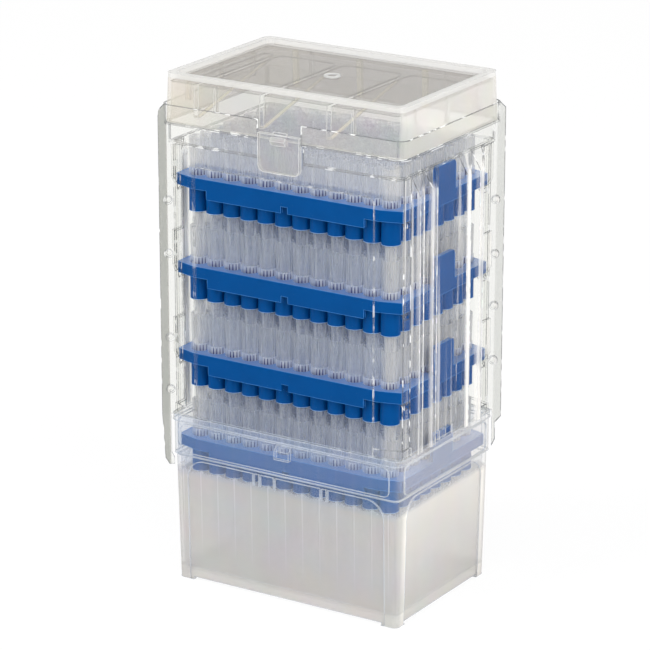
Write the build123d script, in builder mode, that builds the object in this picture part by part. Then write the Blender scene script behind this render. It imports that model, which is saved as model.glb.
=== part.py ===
from build123d import *

import os
from math import atan2, cos, degrees, radians, sin, tan

# Tall pack of pipette tips: a rack base, four nested decks of 96 long tips, a clear
# two-piece sheath that holds three of the decks above the base, and the rack's lid on top.
#
# The frame is X along the length, Y along the depth with the latch side at -Y, and +Z up.
# The origin is the middle of the footprint, on the surface that the feet stand on.
# Lengths are in millimetres and angles in degrees.

os.makedirs("parts", exist_ok=True)

# Grid of the tips
pitch = 9.0
columns = 12
rows = 8
row_letters = "abcdefgh"

# Tip: heights are measured from the top face of its deck
tip_length = 78.0
tip_head = 17.0
tip_mouth_gap = 0.7  # between the mouths of neighbours
tip_rim_height = 1.2
tip_rim_step = 0.15  # set-in of the head below the rim
tip_head_taper = 0.15  # further set-in where the head meets the seat ring
tip_seat_height = 3.4
tip_seat_chamfer = 0.5
tip_nose_diameter = 2.7
tip_nose_length = 9.0
tip_point_diameter = 1.8
tip_point_bore = 0.9
tip_wall = 0.6

# Deck
sleeve_gap = 0.4  # between neighbouring sleeves
sleeve_wall = 0.7
sleeve_length = 16.4
sleeve_clearance = 0.2  # on the diameter, between a tip's body and its bore
deck_end_margin = 4.2  # from the last sleeve to the deck's end
deck_side_margin = 3.2
deck_corner_x = 10.0
deck_corner_y = 3.0
deck_plate = 2.0
deck_band_height = 5.0
deck_band_wall = 1.5
skirt_end_gap = 17.5  # from a skirt's end to the deck's end
skirt_height = 9.0
skirt_notch_width = 3.5
skirt_notch_height = 3.0
finger_tab_width = 16.5
finger_tab_height = 13.0
finger_tab_wall = 1.6
finger_tab_corner = 1.5

# Stack
decks_above_base = 3
deck_spacing = 40.6
tip_floor_gap = 1.5  # under the points of the tips in the base
mouth_to_lid = 7.2  # from the top mouths to the lid's lower edge

# Base
floor_top = 6.0
floor_thickness = 1.8
base_clearance = 0.35  # between a deck's edge and the rim band
base_rim_wall = 1.4
rim_above_deck = 10.5
base_corner = 4.0
base_wall = 1.8
base_step = 0.6  # set-in of the body below the rim band, on each side
step_rise = 1.0  # outer step above the ledge inside
base_draft = 1.3
foot_height = 1.2
foot_length = 8.0
foot_width = 7.0
panel_depth = 0.7
panel_side_margin = 7.5
panel_top_margin = 2.0
panel_corner = 9.0
panel_ribs = (-16.2, -12.9, -5.2, 19.2, 22.4)  # from the middle of the front
panel_rib_wall = 0.9
panel_rib_drop = 5.5
band_panel_depth = 0.5
band_panel_margin_x = 4.5
band_panel_margin_z = 2.2
band_panel_corner = 3.0
rim_bead_height = 2.6
rim_bead = 0.6
catch_width = 7.5
catch_height = 6.0
catch_depth = 2.0
catch_below_rim = 4.5

# Lid
lid_overhang_x = 1.5  # past the base's rim, on each side
lid_overhang_y = 1.0
lid_height = 22.0
lid_corner = 4.5
lid_draft = 2.6
lid_wall = 1.6
lid_rim_wall = 3.0
lid_recess = 2.5
lid_panel = 1.6
lid_rib_height = 11.0
lid_rib_wall = 1.0
lid_rib_depth = 2.8
lid_end_rib_spacing = 26.0
lid_side_rib_spacing = 70.0
brace_spacing = 34.0
brace_shift = -10.7  # of the middle brace from the lid's middle
brace_wall = 2.2
brace_drop = 14.4
brace_foot = 1.5  # flat lower end of a brace, out from the front wall
brace_end = 18.5  # where a brace runs out under the panel, past the middle
pane_depth = 0.3
pane_width = 50.0
pane_side_margin = 1.6  # from a brace's middle to a pane
pane_end_margin = 7.0  # from the end wall to the outer panes
pane_corner = 4.0
gate_diameter = 7.0
gate_wall = 0.8
gate_height = 0.5
latch_width = 21.0
latch_length = 14.5
latch_wall = 1.6
latch_corner = 3.0
latch_root = 2.5
knob_width = 7.0
knob_height = 4.0
knob_depth = 1.4

# Sheath
sheath_wall = 0.6
sheath_clearance = 0.6  # between a deck's edge and the wall
foot_flare = 0.5
foot_flare_height = 3.5
field_depth = 0.8  # raised field of the front and back walls
field_end_gap = 2.0  # from the field's end to the deck's corner cut
field_above_deck = 5.0
field_corner = 3.0
band_height = 9.5
band_step = 1.6
collar_height = 8.0
lid_clearance = 0.4
latch_gap = 0.7
latch_notch_dip = 6.5
flute_height = 2.2
flute_base = 9.8
flute_crest = 2.4
flute_tab_gap = 1.25  # from a finger tab's edge to the first flute
flute_top_gap = 0.6
flute_taper_length = 9.0
shelf_length = 4.4
shelf_corner_gap = 6.4  # from the middle of a shelf to the deck's side
shelf_reach = 1.0  # how far a shelf reaches under a deck's end
shelf_lip = 1.2
shelf_drop = 3.4
groove_lip = 0.9
pocket_width = 7.0
pocket_depth = 1.3
pocket_above_deck = 13.8
pocket_above_shelf = 1.0
pocket_slant = 3.0
flange_overlap = 7.4  # in from the base's corner, into the wall
flange_width = 4.0
flange_corner = 3.0
hook_clearance = 0.8  # outside the base's rim, at its corner
hook_return = 1.2
hook_width = 1.4
hook_drop_left = 24.0
hook_drop_right = 17.0
hook_chamfer = 3.0
snap_diameter = 4.2
snap_height = 1.0
snap_offset = 4.0  # in from the flange's outer edge
snap_draft = 8.0
snap_gap = 0.05  # between two nested bumps
snap_shares_left = (0.084, 0.254, 0.526, 0.697)  # heights as shares of the flange
snap_shares_right = (0.167, 0.345, 0.513, 0.688)

# Derived sizes
sleeve_diameter = pitch - sleeve_gap
bore_top = sleeve_diameter - 2 * sleeve_wall
tip_body_diameter = bore_top - sleeve_clearance
tip_mouth_diameter = pitch - tip_mouth_gap
tip_cone_length = tip_length - tip_head - tip_nose_length
tip_cone_angle = degrees(atan2((tip_body_diameter - tip_nose_diameter) / 2, tip_cone_length))
deck_length = (columns - 1) * pitch + sleeve_diameter + 2 * deck_end_margin
deck_width = (rows - 1) * pitch + sleeve_diameter + 2 * deck_side_margin
skirt_length = deck_length - 2 * skirt_end_gap
base_length = deck_length + 2 * (base_clearance + base_rim_wall)
base_width = deck_width + 2 * (base_clearance + base_rim_wall)
body_length = base_length - 2 * base_step
body_width = base_width - 2 * base_step
lid_length = base_length + 2 * lid_overhang_x
lid_width = base_width + 2 * lid_overhang_y
collar_length = lid_length + 2 * lid_clearance
collar_width = lid_width + 2 * lid_clearance
neck_length = collar_length - 2 * band_step
neck_width = collar_width - 2 * band_step
field_length = deck_length - 2 * (deck_corner_x + field_end_gap)
shelf_place = deck_width / 2 - shelf_corner_gap
flute_places = (
    finger_tab_width / 2 + flute_tab_gap + flute_base / 2,
    shelf_place - shelf_length / 2 - flute_base / 2,
)

# Derived heights
deck_in_base_top = floor_top + tip_floor_gap + tip_length - tip_head
ledge_height = deck_in_base_top - skirt_height
body_top = ledge_height + step_rise
base_height = deck_in_base_top + rim_above_deck
deck_tops = [deck_in_base_top + level * deck_spacing for level in range(decks_above_base + 1)]
top_deck_top = deck_tops[-1]
lid_bottom = top_deck_top + tip_head + mouth_to_lid
lid_top = lid_bottom + lid_height
lid_panel_top = lid_top - lid_recess
lid_panel_bottom = lid_panel_top - lid_panel
band_bottom = lid_bottom - band_height
sheath_bottom = base_height
sheath_top = lid_bottom + collar_height
field_top = top_deck_top + field_above_deck

# The seam that parts the sheath stands on the diagonal of the base
seam_angle = atan2(base_width, base_length)
seam = Plane(
    origin=(0, 0, 0),
    x_dir=(cos(seam_angle), sin(seam_angle), 0),
    z_dir=(sin(seam_angle), -cos(seam_angle), 0),
)
rim_corner_length = (base_length / 2 - base_corner) * cos(seam_angle)
rim_corner_width = (base_width / 2 - base_corner) * sin(seam_angle)
rim_reach = rim_corner_length + rim_corner_width + base_corner + rim_bead
hook_inner = rim_reach + hook_clearance
hook_outer = hook_inner + hook_width
flange_reach = hook_inner + flange_width
flange_root = rim_reach - flange_overlap


def finish(piece, name):
    """Label a finished piece and write its file."""
    piece.label = name
    export_step(piece, f"parts/{name}.step")


def octagon(grow=0.0):
    """Sketch the deck's outline, a rectangle with long shallow corner cuts, grown evenly."""
    half_x, half_y = deck_length / 2, deck_width / 2
    with BuildSketch(mode=Mode.PRIVATE) as outline:
        with BuildLine():
            Polyline(
                (half_x, 0),
                (half_x, half_y - deck_corner_y),
                (half_x - deck_corner_x, half_y),
                (0, half_y),
            )
            mirror(about=Plane.YZ)
            mirror(about=Plane.XZ)
        make_face()
        if grow:
            offset(amount=grow, kind=Kind.INTERSECTION)
    return outline.sketch


# ---------------------------------------------------------------- tip
# A thin tapering tube with a rim, a head, a seat ring and a narrow nose.
mouth_radius = tip_mouth_diameter / 2
head_radius = mouth_radius - tip_rim_step
seat_radius = mouth_radius
body_radius = tip_body_diameter / 2
nose_radius = tip_nose_diameter / 2
point_height = tip_head - tip_length
nose_top = point_height + tip_nose_length

with BuildPart() as tip:
    with BuildSketch(Plane.XZ):
        with BuildLine():
            Polyline(
                (mouth_radius, tip_head),
                (mouth_radius, tip_head - tip_rim_height),
                (head_radius, tip_head - tip_rim_height),
                (head_radius - tip_head_taper, tip_seat_height + tip_seat_chamfer),
                (seat_radius, tip_seat_height),
                (seat_radius, 0),
                (body_radius, 0),
                (nose_radius, nose_top),
                (tip_point_diameter / 2, point_height),
                (tip_point_bore / 2, point_height),
                (nose_radius - tip_wall, nose_top),
                (body_radius - tip_wall, 0),
                (mouth_radius - tip_wall, tip_head),
                close=True,
            )
        make_face()
    revolve(axis=Axis.Z)

with BuildPart() as tip_row:
    with GridLocations(pitch, pitch, columns, 1):
        add(tip.part)


# ---------------------------------------------------------------- deck
# A plate with a band round it, 96 tapered sleeves under it, a skirt along each side that
# stands on the base's ledge, and a finger tab at each end.
with BuildPart() as deck:
    with BuildSketch(Plane.XY.offset(-deck_plate)):
        add(octagon())
    extrude(amount=deck_plate)
    with BuildSketch(Plane.XY.offset(-deck_band_height)):
        add(octagon())
        add(octagon(-deck_band_wall), mode=Mode.SUBTRACT)
    extrude(amount=deck_band_height)
    with BuildSketch(Plane.XZ.offset(deck_width / 2)):
        with Locations((0, -skirt_height / 2)):
            Rectangle(skirt_length, skirt_height)
        with Locations((0, -skirt_height + skirt_notch_height / 2)):
            Rectangle(skirt_notch_width, skirt_notch_height, mode=Mode.SUBTRACT)
    skirt = extrude(amount=-deck_band_wall)
    mirror(skirt, about=Plane.XZ)
    with BuildSketch(Plane.XY.offset(-sleeve_length)):
        with GridLocations(pitch, pitch, columns, rows):
            Circle(sleeve_diameter / 2)
    extrude(amount=sleeve_length)
    with BuildSketch(Plane.YZ.offset(deck_length / 2)):
        with Locations((0, finger_tab_height / 2)):
            Rectangle(finger_tab_width, finger_tab_height)
        fillet(vertices().group_by(Axis.Y)[-1], finger_tab_corner)
    tab = extrude(amount=-finger_tab_wall)
    mirror(tab, about=Plane.YZ)
    with BuildSketch():
        with GridLocations(pitch, pitch, columns, rows):
            Circle(bore_top / 2)
    extrude(amount=-sleeve_length, taper=tip_cone_angle, mode=Mode.SUBTRACT)

# Level 1 is the top deck, and row a is the one next to the latch.
for number, height in enumerate(reversed(deck_tops), start=1):
    finish(deck.part.moved(Location((0, 0, height))), f"deck_{number}")
    for index, letter in enumerate(row_letters):
        place = Location((0, (index - (rows - 1) / 2) * pitch, height))
        finish(tip_row.part.moved(place), f"tips_{number}_row_{letter}")


# ---------------------------------------------------------------- base
draft_slope = tan(radians(base_draft))
base_panel_top = body_top - panel_top_margin
band_panel_height = base_height - rim_bead_height - body_top - band_panel_margin_z
band_panel_middle = (body_top + base_height - rim_bead_height) / 2


def drafted_plane(normal, half, height):
    """Plane on a drafted wall that stands `half` out from the middle at body_top."""
    out = half - draft_slope * (body_top - height)
    along = Vector(-normal.Y, normal.X, 0)
    outward = normal * cos(radians(base_draft)) - Vector(0, 0, sin(radians(base_draft)))
    return Plane(origin=(normal.X * out, normal.Y * out, height), x_dir=along, z_dir=outward)


# A drafted box with sunk panels, an upright rim band with a bead, and four feet.
with BuildPart() as base_box:
    with BuildSketch(Plane.XY.offset(body_top)):
        RectangleRounded(body_length, body_width, base_corner)
    extrude(amount=-body_top, taper=base_draft)
    with BuildSketch(Plane.XY.offset(body_top)):
        RectangleRounded(base_length, base_width, base_corner)
    extrude(amount=base_height - body_top)
    with BuildSketch(Plane.XY.offset(ledge_height)):
        RectangleRounded(
            base_length - 2 * base_rim_wall,
            base_width - 2 * base_rim_wall,
            base_corner - base_rim_wall,
        )
    extrude(amount=base_height - ledge_height, mode=Mode.SUBTRACT)
    with BuildSketch(Plane.XY.offset(ledge_height)):
        RectangleRounded(body_length - 2 * base_wall, body_width - 2 * base_wall, base_corner - base_wall)
    extrude(amount=-(ledge_height - floor_top), taper=base_draft, mode=Mode.SUBTRACT)
    # The floor stands up on feet: the hollow under it leaves a skirt, cut away between them.
    floor_bottom = floor_top - floor_thickness
    with BuildSketch(Plane.XY.offset(floor_bottom)):
        shrink = 2 * draft_slope * (body_top - floor_bottom) + 2 * base_wall
        RectangleRounded(body_length - shrink, body_width - shrink, base_corner - base_wall)
    extrude(amount=-floor_bottom, mode=Mode.SUBTRACT)
    with BuildSketch():
        foot_shrink = 2 * draft_slope * body_top
        Rectangle(body_length - foot_shrink - 2 * foot_length, 2 * base_width)
        Rectangle(2 * base_length, body_width - foot_shrink - 2 * foot_width)
    extrude(amount=foot_height, mode=Mode.SUBTRACT)
    for normal, mirror_plane, half, rim_half, span in (
        (Vector(0, -1, 0), Plane.XZ, body_width / 2, base_width / 2, body_length),
        (Vector(1, 0, 0), Plane.YZ, body_length / 2, base_length / 2, body_width),
    ):
        with BuildSketch(drafted_plane(normal, half, base_panel_top)):
            with Locations((0, -base_panel_top / 2)):
                Rectangle(span - 2 * panel_side_margin, base_panel_top)
            fillet(vertices().group_by(Axis.Y)[-1], panel_corner)
        sunk = extrude(amount=-panel_depth, mode=Mode.SUBTRACT)
        mirror(sunk, about=mirror_plane, mode=Mode.SUBTRACT)
        rim_plane = Plane(origin=normal * rim_half, x_dir=(-normal.Y, normal.X, 0), z_dir=normal)
        with BuildSketch(rim_plane):
            with Locations((0, band_panel_middle)):
                RectangleRounded(span - 2 * band_panel_margin_x, band_panel_height, band_panel_corner)
        sunk = extrude(amount=-band_panel_depth, mode=Mode.SUBTRACT)
        mirror(sunk, about=mirror_plane, mode=Mode.SUBTRACT)
    # Short ribs hang in the front panel.
    with BuildSketch(drafted_plane(Vector(0, -1, 0), body_width / 2, base_panel_top)):
        for x in panel_ribs:
            with Locations((x, -panel_rib_drop / 2)):
                Rectangle(panel_rib_wall, panel_rib_drop)
    extrude(amount=-panel_depth)
    with BuildSketch(Plane.XY.offset(base_height - rim_bead_height)):
        RectangleRounded(base_length + 2 * rim_bead, base_width + 2 * rim_bead, base_corner + rim_bead)
        RectangleRounded(
            base_length - base_rim_wall, base_width - base_rim_wall, base_corner, mode=Mode.SUBTRACT
        )
    extrude(amount=rim_bead_height)
    # The catch that the lid's latch clips under when the lid closes the base.
    catch_face = -base_width / 2 + band_panel_depth
    catch_top = base_height - catch_below_rim
    with BuildSketch(Plane.YZ.offset(-catch_width / 2)):
        with BuildLine():
            Polyline(
                (catch_face, catch_top),
                (catch_face - catch_depth, catch_top - catch_depth),
                (catch_face - catch_depth, catch_top - catch_height),
                (catch_face, catch_top - catch_height),
                close=True,
            )
        make_face()
    extrude(amount=catch_width)
finish(base_box.part, "base_box")


# ---------------------------------------------------------------- sheath
inner_end = deck_length / 2 + sheath_clearance
inner_side = deck_width / 2 + sheath_clearance
root_overlap = 1.0  # how far a feature's sketch starts inside the wall that it joins
flute_top = band_bottom - flute_top_gap


def flutes(deepen):
    """Sketch the upright flutes of one end wall as seen from above, deepened by the wall."""
    wall = inner_end + deepen
    with BuildSketch(mode=Mode.PRIVATE) as crests:
        for place in flute_places:
            for y in (-place, place):
                with BuildLine():
                    Polyline(
                        (wall - root_overlap, y - flute_base / 2 - deepen),
                        (wall, y - flute_base / 2 - deepen),
                        (wall + flute_height, y - flute_crest / 2 - deepen / 2),
                        (wall + flute_height, y + flute_crest / 2 + deepen / 2),
                        (wall, y + flute_base / 2 + deepen),
                        (wall - root_overlap, y + flute_base / 2 + deepen),
                        close=True,
                    )
                make_face()
    return crests.sketch


def pockets(deepen):
    """Solid of the pockets above the shelves at one corner, deepened by the wall."""
    wall = inner_end + deepen
    with BuildPart(mode=Mode.PRIVATE) as solid:
        with BuildSketch(Plane.XZ.offset(-shelf_place - pocket_width / 2 - deepen)):
            for top in deck_tops[1:]:
                low = top - deck_band_height + pocket_above_shelf - deepen
                high = top + pocket_above_deck + deepen
                with BuildLine():
                    Polyline(
                        (wall - root_overlap, low),
                        (wall, low),
                        (wall + pocket_depth, low + pocket_slant),
                        (wall + pocket_depth, high),
                        (wall - root_overlap, high),
                        close=True,
                    )
                make_face()
        extrude(amount=pocket_width + 2 * deepen)
    return solid.part


def tube(bottom, deepen):
    """The sheath's body as a solid: walls, flared foot, flutes, pockets and raised fields."""
    wall = inner_end + deepen
    with BuildPart(mode=Mode.PRIVATE) as solid:
        with BuildSketch(Plane.XY.offset(bottom)):
            add(octagon(sheath_clearance + deepen))
        extrude(amount=band_bottom + sheath_wall + root_overlap - bottom)
        with BuildSketch(Plane.XY.offset(bottom)):
            add(flutes(deepen))
        extrude(amount=flute_top - bottom)
        # A slanting cut brings each flute to a point under the band.
        with BuildSketch(Plane.XZ.offset(-deck_width / 2)):
            with BuildLine():
                Polyline(
                    (wall, flute_top),
                    (wall + 2 * flute_height, flute_top - 2 * flute_taper_length),
                    (wall + 2 * flute_height, flute_top + root_overlap),
                    (wall, flute_top + root_overlap),
                    close=True,
                )
            make_face()
        extrude(amount=deck_width, mode=Mode.SUBTRACT)
        with BuildSketch(Plane.XZ.offset(inner_side + deepen - root_overlap)):
            with Locations((0, (bottom + field_top + deepen) / 2)):
                Rectangle(field_length + 2 * deepen, field_top + deepen - bottom)
            fillet(vertices().group_by(Axis.Y)[-1], field_corner)
        extrude(amount=field_depth + root_overlap)
        mirror(about=Plane.YZ)
        mirror(about=Plane.XZ)
        with BuildSketch(Plane.XY.offset(bottom)):
            add(octagon(sheath_clearance + deepen + foot_flare))
        extrude(amount=sheath_bottom + foot_flare_height + deepen - bottom)
        pocket = pockets(deepen)
        add(pocket)
        add(pocket.rotate(Axis.Z, 180))
    return solid.part


def shelf_solids(thinner, root, lip):
    """Wedges under each deck's end, or with a wall taken off, the hollows behind them."""
    with BuildPart(mode=Mode.PRIVATE) as wedges:
        with BuildSketch(Plane.XZ.offset(-shelf_length / 2 + thinner)):
            for top in deck_tops[1:]:
                seat = top - deck_band_height - thinner
                inner = deck_length / 2 - shelf_reach + thinner
                with BuildLine():
                    Polyline(
                        (root, seat),
                        (inner, seat),
                        (inner, seat - lip),
                        (root, seat - shelf_drop),
                        close=True,
                    )
                make_face()
        extrude(amount=shelf_length - 2 * thinner)
    return wedges.part


shelves = shelf_solids(0, inner_end + sheath_wall / 2, shelf_lip)
grooves = shelf_solids(sheath_wall, inner_end + flute_height, groove_lip)

# The whole sheath with both flanges, before it is parted at the seam.
with BuildPart() as sheath:
    with BuildSketch(Plane.XY.offset(sheath_bottom)):
        RectangleRounded(base_length, base_width, base_corner)
    extrude(amount=sheath_wall)
    add(tube(sheath_bottom, sheath_wall))
    with BuildSketch(Plane.XY.offset(band_bottom)):
        RectangleRounded(neck_length + 2 * sheath_wall, neck_width + 2 * sheath_wall, lid_corner)
    extrude(amount=band_height)
    with BuildSketch(Plane.XY.offset(lid_bottom - sheath_wall)):
        RectangleRounded(
            collar_length + 2 * sheath_wall, collar_width + 2 * sheath_wall, lid_corner + sheath_wall
        )
    extrude(amount=collar_height + sheath_wall)
    with BuildSketch(seam):
        # Right flange: it ends in a straight hook outside the base's rim.
        with BuildLine():
            Polyline(
                (flange_root, sheath_bottom + sheath_wall),
                (hook_inner, sheath_bottom),
                (hook_inner, sheath_bottom - hook_drop_right),
                (hook_outer, sheath_bottom - hook_drop_right + hook_chamfer),
                (hook_outer, sheath_bottom - 2 * hook_chamfer),
                (flange_reach, sheath_bottom - hook_chamfer),
                (flange_reach, sheath_top - flange_corner),
                (flange_reach - flange_corner, sheath_top),
                (flange_root, sheath_top),
                close=True,
            )
        make_face()
        # Left flange: its hook is longer and turns in under the rim.
        with BuildLine():
            Polyline(
                (-flange_root, sheath_bottom + sheath_wall),
                (-hook_inner, sheath_bottom),
                (-hook_inner, body_top),
                (-hook_inner + hook_return, body_top - 2 * hook_return),
                (-hook_inner + hook_return, sheath_bottom - hook_drop_left),
                (-flange_reach + hook_chamfer, sheath_bottom - hook_drop_left),
                (-flange_reach + hook_return, sheath_bottom - hook_drop_left + hook_chamfer),
                (-flange_reach, sheath_bottom),
                (-flange_reach, sheath_top - flange_corner),
                (-flange_reach + flange_corner, sheath_top),
                (-flange_root, sheath_top),
                close=True,
            )
        make_face()
    extrude(amount=sheath_wall, both=True)
    add(tube(sheath_bottom - root_overlap, 0), mode=Mode.SUBTRACT)
    with BuildSketch(Plane.XY.offset(band_bottom + sheath_wall)):
        RectangleRounded(neck_length, neck_width, lid_corner - sheath_wall)
    extrude(amount=band_height - sheath_wall, mode=Mode.SUBTRACT)
    with BuildSketch(Plane.XY.offset(lid_bottom)):
        RectangleRounded(collar_length, collar_width, lid_corner)
    extrude(amount=collar_height, mode=Mode.SUBTRACT)
    for y in (-shelf_place, shelf_place):
        for turn in (0, 180):
            place = Location((0, y, 0), (0, 0, turn))
            add(shelves.moved(place))
            add(grooves.moved(place), mode=Mode.SUBTRACT)
    # Notch for the latch, with a bowed lower edge for a finger.
    notch_half = latch_width / 2 + latch_gap
    notch_depth = collar_width / 2 + 2 * sheath_wall - inner_side + root_overlap
    with BuildSketch(Plane.XZ.offset(inner_side - root_overlap)):
        with BuildLine():
            Polyline(
                (notch_half, band_bottom),
                (notch_half, sheath_top),
                (-notch_half, sheath_top),
                (-notch_half, band_bottom),
            )
            ThreePointArc(
                (-notch_half, band_bottom), (0, band_bottom - latch_notch_dip), (notch_half, band_bottom)
            )
        make_face()
    extrude(amount=notch_depth, mode=Mode.SUBTRACT)

# Two halves, held together by bumps that nest in one another along the flanges.
flange_height = sheath_top - sheath_bottom
snap_reach = flange_reach - snap_offset
snap_places = [(-snap_reach, sheath_bottom + share * flange_height) for share in snap_shares_left]
snap_places += [(snap_reach, sheath_bottom + share * flange_height) for share in snap_shares_right]

for name, keep, layer in (("sheath_front", Keep.TOP, 0), ("sheath_back", Keep.BOTTOM, 1)):
    nested = layer * (sheath_wall + snap_gap)
    with BuildPart() as half:
        add(sheath.part)
        split(bisect_by=seam, keep=keep)
        with BuildSketch(seam):
            with Locations(*snap_places):
                Circle(snap_diameter / 2 - nested)
        extrude(amount=snap_height + sheath_wall - nested, taper=snap_draft)
        with BuildSketch(seam.offset(-layer * sheath_wall)):
            with Locations(*snap_places):
                Circle(snap_diameter / 2 - (1 + layer) * sheath_wall)
        extrude(amount=snap_height, taper=snap_draft, mode=Mode.SUBTRACT)
    finish(half.part, name)


# ---------------------------------------------------------------- lid
lid_slope = tan(radians(lid_draft))
lid_shrink = lid_wall + lid_slope * lid_height
inner_x = lid_length / 2 - lid_shrink
inner_y = lid_width / 2 - lid_shrink
brace_places = [brace_shift + step * brace_spacing for step in (-1, 0, 1)]
pane_starts = [pane_end_margin - inner_x] + [x + pane_side_margin for x in brace_places]
pane_ends = [x - pane_side_margin for x in brace_places] + [inner_x - pane_end_margin]
latch_back = -lid_width / 2
latch_front = latch_back - latch_wall

# A drafted tray with a sunk top panel, ribs and slanting braces inside, and a latch tab.
with BuildPart() as lid:
    with BuildSketch(Plane.XY.offset(lid_bottom)):
        RectangleRounded(lid_length, lid_width, lid_corner)
    extrude(amount=lid_height, taper=lid_draft)
    with BuildSketch(Plane.XY.offset(lid_bottom)):
        RectangleRounded(lid_length - 2 * lid_wall, lid_width - 2 * lid_wall, lid_corner - lid_wall)
    extrude(amount=lid_panel_bottom - lid_bottom, taper=lid_draft, mode=Mode.SUBTRACT)
    with BuildSketch(Plane.XY.offset(lid_panel_top)):
        rim_shrink = 2 * (lid_height * lid_slope + lid_rim_wall)
        RectangleRounded(lid_length - rim_shrink, lid_width - rim_shrink, lid_corner - lid_wall)
    extrude(amount=lid_recess, mode=Mode.SUBTRACT)
    # Thin panes between the braces, sunk into the panel's underside.
    with BuildSketch(Plane.XY.offset(lid_panel_bottom)):
        for start, end in zip(pane_starts, pane_ends):
            with Locations(((start + end) / 2, 0)):
                RectangleRounded(end - start, pane_width, min(pane_corner, (end - start) / 3))
    extrude(amount=pane_depth, mode=Mode.SUBTRACT)
    # Ring of the moulding gate.
    with BuildSketch(Plane.XY.offset(lid_panel_top)):
        Circle(gate_diameter / 2)
        Circle(gate_diameter / 2 - gate_wall, mode=Mode.SUBTRACT)
    extrude(amount=gate_height)
    with BuildSketch(Plane.XY.offset(lid_panel_bottom)):
        with GridLocations(2 * inner_x, lid_end_rib_spacing, 2, 3):
            Rectangle(lid_rib_depth, lid_rib_wall)
        with GridLocations(lid_side_rib_spacing, 2 * inner_y, 2, 2):
            Rectangle(lid_rib_wall, lid_rib_depth)
    extrude(amount=-lid_rib_height)
    for x in brace_places:
        with BuildSketch(Plane.YZ.offset(x - brace_wall / 2)):
            with BuildLine():
                Polyline(
                    (-inner_y - lid_wall / 2, lid_panel_bottom + pane_depth),
                    (-inner_y - lid_wall / 2, lid_panel_bottom - brace_drop),
                    (-inner_y + brace_foot, lid_panel_bottom - brace_drop),
                    (brace_end, lid_panel_bottom),
                    (brace_end, lid_panel_bottom + pane_depth),
                    close=True,
                )
            make_face()
        extrude(amount=brace_wall)
    # Latch tab, rooted in the front wall, and the knob on its bend.
    with BuildSketch(Plane.XZ.offset(-latch_back)):
        with Locations((0, lid_bottom + (latch_root - latch_length) / 2)):
            Rectangle(latch_width, latch_length + latch_root)
        fillet(vertices().group_by(Axis.Y)[0], latch_corner)
    extrude(amount=latch_wall)
    with BuildSketch(Plane.XY.offset(lid_bottom)):
        with Locations((0, latch_back)):
            Rectangle(latch_width, 2 * latch_wall)
    extrude(amount=latch_root)
    with BuildSketch(Plane.YZ.offset(-knob_width / 2)):
        with BuildLine():
            Polyline(
                (latch_front, lid_bottom - knob_height / 2),
                (latch_front - knob_depth, lid_bottom),
                (latch_back + lid_wall / 2, lid_bottom + knob_height),
                (latch_back, lid_bottom - knob_height / 2),
                close=True,
            )
        make_face()
    extrude(amount=knob_width)
finish(lid.part, "lid")
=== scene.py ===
"""Looks of a tall pack of pipette tips: clear sheath and lid, hazy base, blue decks and 384 tips.

Every length is in metres. X runs along the pack, Y along its depth with the latch side at -Y, Z up.
"""

import math

import bpy
import numpy as np
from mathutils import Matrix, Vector


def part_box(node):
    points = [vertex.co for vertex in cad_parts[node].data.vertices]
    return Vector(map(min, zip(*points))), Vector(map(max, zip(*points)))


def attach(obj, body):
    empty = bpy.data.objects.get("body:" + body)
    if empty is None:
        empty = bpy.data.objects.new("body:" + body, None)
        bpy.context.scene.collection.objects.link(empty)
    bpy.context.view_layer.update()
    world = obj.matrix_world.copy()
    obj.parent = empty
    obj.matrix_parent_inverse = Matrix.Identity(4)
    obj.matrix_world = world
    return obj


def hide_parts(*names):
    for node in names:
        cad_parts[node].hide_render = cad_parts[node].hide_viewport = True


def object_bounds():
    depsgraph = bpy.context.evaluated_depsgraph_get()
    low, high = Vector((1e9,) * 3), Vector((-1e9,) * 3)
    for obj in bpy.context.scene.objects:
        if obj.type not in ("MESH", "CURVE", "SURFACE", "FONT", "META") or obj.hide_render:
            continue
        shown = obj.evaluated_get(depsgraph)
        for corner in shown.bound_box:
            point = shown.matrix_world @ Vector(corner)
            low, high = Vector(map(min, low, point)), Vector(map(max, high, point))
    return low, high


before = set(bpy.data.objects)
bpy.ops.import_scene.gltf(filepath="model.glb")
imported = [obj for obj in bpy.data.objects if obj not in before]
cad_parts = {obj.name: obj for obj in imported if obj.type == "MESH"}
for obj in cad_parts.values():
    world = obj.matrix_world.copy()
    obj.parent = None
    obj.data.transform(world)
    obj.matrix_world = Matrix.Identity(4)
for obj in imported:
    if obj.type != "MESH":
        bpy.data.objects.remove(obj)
cad_low, cad_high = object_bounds()

bl_info = {
    "name": "Pipette tip pack",
    "version": (1, 0, 0),
    "blender": (4, 5, 0),
    "location": "View3D > Sidebar > Tip pack",
    "description": "Finishes a packed tip box: plastics, tips, stage and camera",
    "category": "Object",
}

MM = 0.001
LEVELS = (1, 2, 3, 4)  # of the decks, from the top down
ROWS = "abcdefgh"
COLUMNS = 12
WHITE = (1.0, 1.0, 1.0, 1.0)

# Places on the pack, from the packed pieces: DECK_END and LID_END are half lengths, and
# DECK_SIDE and LID_SIDE are half widths.
deck_low, deck_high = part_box("deck_4")
lid_low, lid_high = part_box("lid")
row_low, row_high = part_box("tips_1_row_a")
DECK_END, DECK_SIDE = deck_high.x, deck_high.y
SLEEVE_FOOT = deck_low.z  # lower end of the sleeves that stand in the base
BASE_FLOOR = 6.0 * MM
LID_END, LID_SIDE, LID_TOP = lid_high
KNOB_FRONT = lid_low.y
BAND_FOOT = LID_TOP - 31.5 * MM  # lower edge of the stepped band under the lid
BRACE_SHIFT = -10.7 * MM  # of the lid's middle brace
BRACE_SPACING = 34.0 * MM
LATCH_HALF = 10.5 * MM  # half the width of the latch tab

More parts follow.
